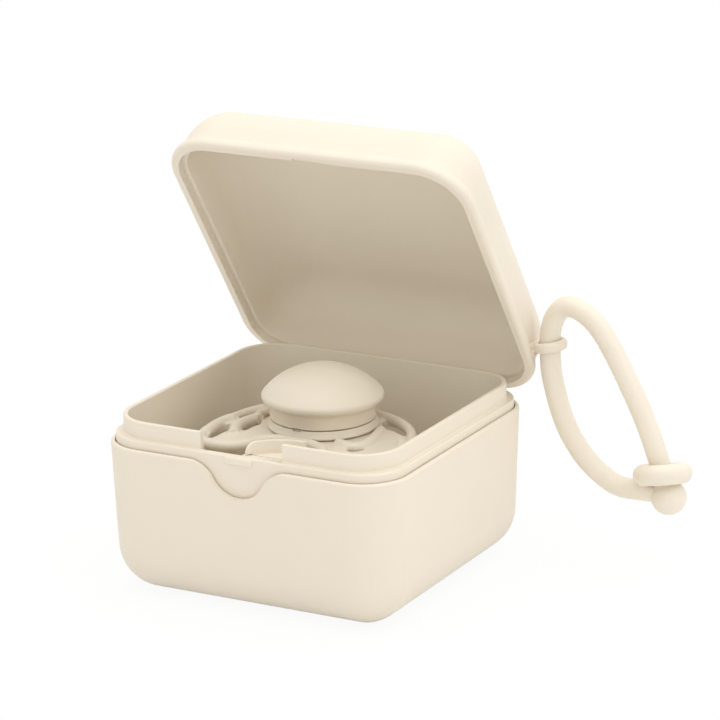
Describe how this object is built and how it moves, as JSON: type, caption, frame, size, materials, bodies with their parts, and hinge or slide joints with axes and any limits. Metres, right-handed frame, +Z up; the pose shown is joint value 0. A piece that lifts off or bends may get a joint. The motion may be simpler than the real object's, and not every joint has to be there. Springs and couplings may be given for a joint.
{
  "type": "pacifier box",
  "caption": "Rounded pacifier box with a hinged lid tilted open, a lift-out tray, a pacifier lying nipple down inside, and a soft strap threaded through an eyelet on the lid.",
  "frame": {"origin": "centre of the flat underside of the box", "axes": "+Z up; -Y is the front, with the finger recess; +Y is the hinge side; +X is the side with the lid's eyelet and strap"},
  "size_m": [0.1318, 0.0972, 0.1166],
  "materials": {
    "shell_plastic": "satin",
    "liner_plastic": "satin",
    "lid_plastic": "satin",
    "tray_plastic": "satin",
    "pacifier_plastic": "satin",
    "nipple_silicone": "satin",
    "strap_silicone": "satin",
    "pin_steel": "brushed"
  },
  "bodies": {
    "base": {"outer_shell": "shell_plastic", "inner_liner": "liner_plastic", "hinge_pin": "pin_steel"},
    "lid": {"lid_shell": "lid_plastic"},
    "tray": {"lift_tray": "tray_plastic"},
    "pacifier": {"pacifier_shield": "pacifier_plastic", "pacifier_base_ring": "pacifier_plastic", "pacifier_knob": "pacifier_plastic", "pacifier_nipple": "nipple_silicone"},
    "strap": {"strap_cord": "strap_silicone", "strap_collar": "strap_silicone", "strap_ball": "strap_silicone"}
  },
  "joints": [
    {"name": "lid_hinge", "type": "hinge", "parent": "base", "child": "lid", "pos_m": [0, 0.04345, 0.0391], "axis": [-1, 0, 0], "range_deg": [-55.9, 44]},
    {"name": "strap_swing", "type": "hinge", "parent": "lid", "child": "strap", "pos_m": [0.0479, 0.0396, 0.056], "axis": [0, 0, 1], "range_deg": [-40, 60]},
    {"name": "tray_lift", "type": "slide", "parent": "base", "child": "tray", "axis": [0, 0, 1], "range_m": [0, 0.0525]},
    {"name": "pacifier_lift", "type": "slide", "parent": "tray", "child": "pacifier", "axis": [0, 0, 1], "range_m": [0, 0.0525]}
  ]
}
